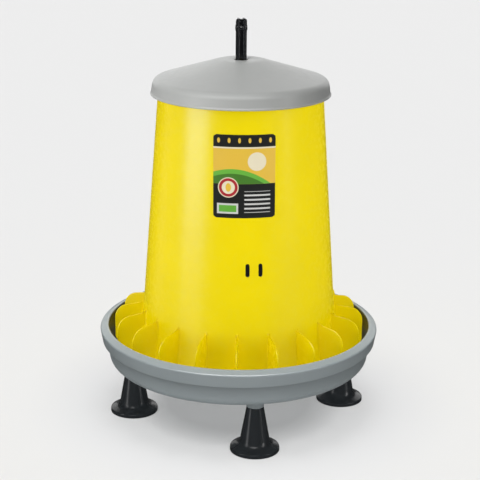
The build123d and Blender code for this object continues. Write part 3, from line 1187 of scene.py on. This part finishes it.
@dataclass
class Studio:
    """Camera, lamps, world and floor. Directions are given from the camera's own side."""

    lens: float = 100.5
    sensor: float = 36.0
    eye: tuple = (-0.3024, -1.9437, 0.8718)
    target: tuple = (0.00097, 0.0, 0.2720)
    roll: float = 0.0095
    backdrop: float = 0.831
    world_light: float = 0.105
    reflected: float = 0.05
    floor_color: tuple = (0.565, 0.565, 0.565)
    floor_glow: float = 0.179
    floor_reach: float = 30.0
    floor_drop: float = 3e-4
    aim_height: float = 0.3

    def camera(self) -> None:
        """Sets the camera: it looks from the eye to the target, then rolls about that line."""
        data = bpy.data.cameras.new("camera")
        data.lens, data.sensor_width, data.sensor_fit = self.lens, self.sensor, "HORIZONTAL"
        data.clip_end = 100.0
        camera = bpy.data.objects.new("camera", data)
        bpy.context.scene.collection.objects.link(camera)
        look = Vector(self.target) - Vector(self.eye)
        turn = look.to_track_quat("-Z", "Y").to_matrix() @ Matrix.Rotation(self.roll, 3, "Z")
        camera.matrix_world = Matrix.Translation(self.eye) @ turn.to_4x4()
        bpy.context.scene.camera = camera

    def direction(self, azimuth: float, elevation: float) -> Vector:
        """Unit vector towards a lamp.

        Args:
            azimuth: Degrees round from the camera's side, positive to its right.
            elevation: Degrees over the floor.

        Returns:
            The vector (sin a cos e, -cos a cos e, sin e), with the camera's own angle in a.
        """
        a = radians(azimuth) + np.arctan2(self.eye[0], -self.eye[1])
        e = radians(elevation)
        return Vector((sin(a) * cos(e), -cos(a) * cos(e), sin(e)))

    def lamp(self, name: str, kind: str, azimuth: float, elevation: float,
             distance: float = 3.0) -> bpy.types.Object:
        """Adds a lamp that faces the feeder's middle.

        Args:
            name: Name of the lamp.
            kind: Its type.
            azimuth: Degrees round from the camera's side, positive to its right.
            elevation: Degrees over the floor.
            distance: Metres from the feeder's middle.

        Returns:
            The lamp.
        """
        data = bpy.data.lights.new(name, kind)
        lamp = bpy.data.objects.new(name, data)
        bpy.context.scene.collection.objects.link(lamp)
        away = self.direction(azimuth, elevation)
        lamp.matrix_world = (
            Matrix.Translation(Vector((0, 0, self.aim_height)) + away * distance)
            @ (-away).to_track_quat("-Z", "Y").to_matrix().to_4x4())
        return lamp

    def aim_at(self, lamp: bpy.types.Object, lit: list | None,
               blockers: list | None = None) -> None:
        """Keeps a lamp to some pieces, and its shadows to those of others.

        Args:
            lamp: The lamp.
            lit: The objects that it lights, or None for all of them.
            blockers: The objects that throw its shadows, or None for all of them.
        """
        for part, objects in (("receiver", lit), ("blocker", blockers)):
            if objects is None:
                continue
            group = bpy.data.collections.new(f"{lamp.name}_{part}s")
            for item in objects:
                group.objects.link(item)
            setattr(lamp.light_linking, f"{part}_collection", group)

    def sun(self, name: str, azimuth: float, elevation: float, strength: float, spread: float,
            lit: list | None = None, blockers: list | None = None) -> None:
        """Adds a soft sun that leaves no highlight.

        Args:
            name: Name of the lamp.
            azimuth: Degrees round from the camera's side.
            elevation: Degrees over the floor.
            strength: Its strength.
            spread: Its width in the sky, in degrees.
            lit: The objects that it lights, or None for all of them.
            blockers: The objects that throw its shadows, or None for all of them.
        """
        lamp = self.lamp(name, "SUN", azimuth, elevation)
        lamp.data.energy, lamp.data.angle = strength, radians(spread)
        lamp.visible_glossy = False
        self.aim_at(lamp, lit, blockers)

    def sheen_box(self, name: str, azimuth: float, elevation: float, size: tuple, energy: float,
                  lit: list | None = None, distance: float = 2.4) -> None:
        """Adds a softbox that shows only in the first glossy reflection.

        Args:
            name: Name of the lamp.
            azimuth: Degrees round from the camera's side.
            elevation: Degrees over the floor.
            size: Width and height in metres.
            energy: Its power in watts.
            lit: The objects that it lights, or None for all of them.
            distance: Metres from the feeder's middle.
        """
        lamp = self.lamp(name, "AREA", azimuth, elevation, distance)
        lamp.data.shape = "RECTANGLE"
        lamp.data.size, lamp.data.size_y = size
        lamp.data.energy = energy
        lamp.data.cycles.max_bounces = 0
        lamp.visible_diffuse = False
        lamp.visible_camera = False
        self.aim_at(lamp, lit)

    def world(self) -> None:
        """World with one grey for the camera, one for soft light and one for reflections."""
        world = bpy.data.worlds.new("studio")
        world.use_nodes = True
        tree = world.node_tree
        tree.nodes.clear()
        path, out = tree.nodes.new("ShaderNodeLightPath"), tree.nodes.new("ShaderNodeOutputWorld")
        shader = None
        for ray, strength in (
                (None, self.world_light), ("Is Glossy Ray", self.reflected),
                ("Is Transmission Ray", self.backdrop), ("Is Camera Ray", self.backdrop)):
            grey = tree.nodes.new("ShaderNodeBackground")
            grey.inputs["Color"].default_value = (1, 1, 1, 1)
            grey.inputs["Strength"].default_value = strength
            if ray is None:
                shader = grey.outputs[0]
                continue
            mix = tree.nodes.new("ShaderNodeMixShader")
            tree.links.new(path.outputs[ray], mix.inputs[0])
            tree.links.new(shader, mix.inputs[1])
            tree.links.new(grey.outputs[0], mix.inputs[2])
            shader = mix.outputs[0]
        tree.links.new(shader, out.inputs["Surface"])
        bpy.context.scene.world = world

    def floor(self) -> bpy.types.Object:
        """Pale floor with a faint glow, seen from above only.

        Returns:
            The floor.
        """
        mesh = bpy.data.meshes.new("studio_floor")
        s, z = self.floor_reach, -self.floor_drop
        corners = [(-s, -s, z), (s, -s, z), (s, s, z), (-s, s, z)]
        mesh.from_pydata(corners, [], [(0, 1, 2, 3)])
        floor = bpy.data.objects.new("studio_floor", mesh)
        bpy.context.scene.collection.objects.link(floor)
        g = Graph("studio_floor")
        g.shader.inputs["Base Color"].default_value = rgba(self.floor_color)
        g.shader.inputs["Emission Color"].default_value = (1, 1, 1, 1)
        g.shader.inputs["Emission Strength"].default_value = self.floor_glow
        g.shader.inputs["Roughness"].default_value = 1.0
        g.shader.inputs["Specular IOR Level"].default_value = 0.0
        clear, mix = g.add("ShaderNodeBsdfTransparent"), g.add("ShaderNodeMixShader")
        out = next(n for n in g.tree.nodes if n.type == "OUTPUT_MATERIAL")
        g.join(g.add("ShaderNodeNewGeometry").outputs["Backfacing"], mix.inputs[0])
        g.join(g.shader.outputs["BSDF"], mix.inputs[1])
        g.join(clear.outputs[0], mix.inputs[2])
        g.join(mix.outputs[0], out.inputs["Surface"])
        mesh.materials.append(g.material)
        floor.visible_glossy = False
        return floor

    def build(self, hopper: list, lid: list, pan: list, legs: list, blacks: list) -> None:
        """Sets up the whole studio.

        Args:
            hopper: The hopper's shell and its label.
            lid: The lid.
            pan: The pan.
            legs: The four legs.
            blacks: The other black pieces.
        """
        self.camera()
        self.world()
        floor = self.floor()
        others = lid + pan + legs + blacks
        shell, film = hopper[:1], hopper[1:]
        self.sun("top_sun", -10, 80, 0.85, 50)
        self.sun("floor_sun", -10, 85, 2.58, 50, [floor], shell + legs)
        self.sun("key_sun", -50, 30, 1.55, 50, lid + blacks)
        self.sun("hopper_left_fill", -60, 10, 0.75, 60, hopper, shell)
        self.sun("hopper_right_fill", 60, 10, 0.7, 60, hopper, shell)
        self.sun("hopper_left_soft", -60, 10, 0.95, 60, hopper, film)
        self.sun("hopper_right_soft", 60, 10, 0.88, 60, hopper, film)
        self.sun("hopper_back_fill", 180, 15, 1.3, 30, hopper, shell)
        self.sun("back_fill", 180, 20, 1.2, 60, others, [floor])
        self.sun("lid_fill", -30, 50, 1.0, 60, lid, [floor])
        self.sun("pan_key", -20, 58, 2.0, 50, pan, pan + shell)
        self.sun("pan_top", -10, 80, 1.4, 50, pan, pan + shell)
        self.sun("bounce", 0, -35, 0.55, 60, pan, film)
        self.sun("leg_fill", -10, 20, 1.2, 60, legs, [floor])
        self.sheen_box("hopper_left_box", -58, 8, (1.3, 2.4), 290, shell)
        self.sheen_box("hopper_far_left_box", -98, 8, (1.9, 2.4), 24, shell)
        self.sheen_box("hopper_right_strip", 62, 12, (0.2, 1.8), 12, shell)
        self.sheen_box("hopper_front_box", -5, 45, (3.0, 0.5), 240, shell)
        self.sheen_box("left_box", -58, 8, (0.6, 2.4), 13, lid + pan + film + legs)
        self.sheen_box("right_strip", 62, 12, (0.35, 1.8), 12, lid + pan + legs)
        self.sheen_box("rod_left_box", -58, 8, (0.5, 2.4), 25, blacks)
        self.sheen_box("rod_right_strip", 55, 12, (0.4, 1.8), 25, blacks)
        self.sheen_box("back_panel", 180, 22, (4.0, 2.0), 30, others)
        self.sheen_box("lid_front_box", -5, 42, (3.0, 0.35), 45, lid + blacks)
        self.sheen_box("pan_front_box", -5, 42, (3.0, 0.35), 200, pan)
        self.sheen_box("leg_front_box", -5, 42, (1.5, 0.35), 12, legs)
        scene = bpy.context.scene
        scene.view_settings.view_transform = "Standard"


def main() -> None:
    """Builds the feeder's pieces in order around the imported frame, then the studio."""
    logging.basicConfig(level=logging.INFO, format="%(name)s %(message)s")
    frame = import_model()
    finishes = Finishes()
    black, leg_black = finishes.black.material(), finishes.leg_black.material()
    hopper = Hopper(finishes.yellow.material()).build()
    label = Label(finishes.label.material()).build()
    lid = Lid(finishes.lid_grey.material()).build()
    pan = Pan(finishes.pan_grey.material()).build()
    legs = [Leg(leg_black, number).build() for number in range(1, 5)]
    kept = ("hopper_bracket", "hanger_rod", "height_clip", "pan_clip")
    blacks = [frame["nodes"][name] for name in kept]
    for node in blacks:
        node.data.materials.clear()
        node.data.materials.append(black)
        log.info("%s: kept, in black plastic", node.name)
    Studio().build([hopper, label], [lid], [pan], legs, blacks)


if __name__ == "__main__":
    main()
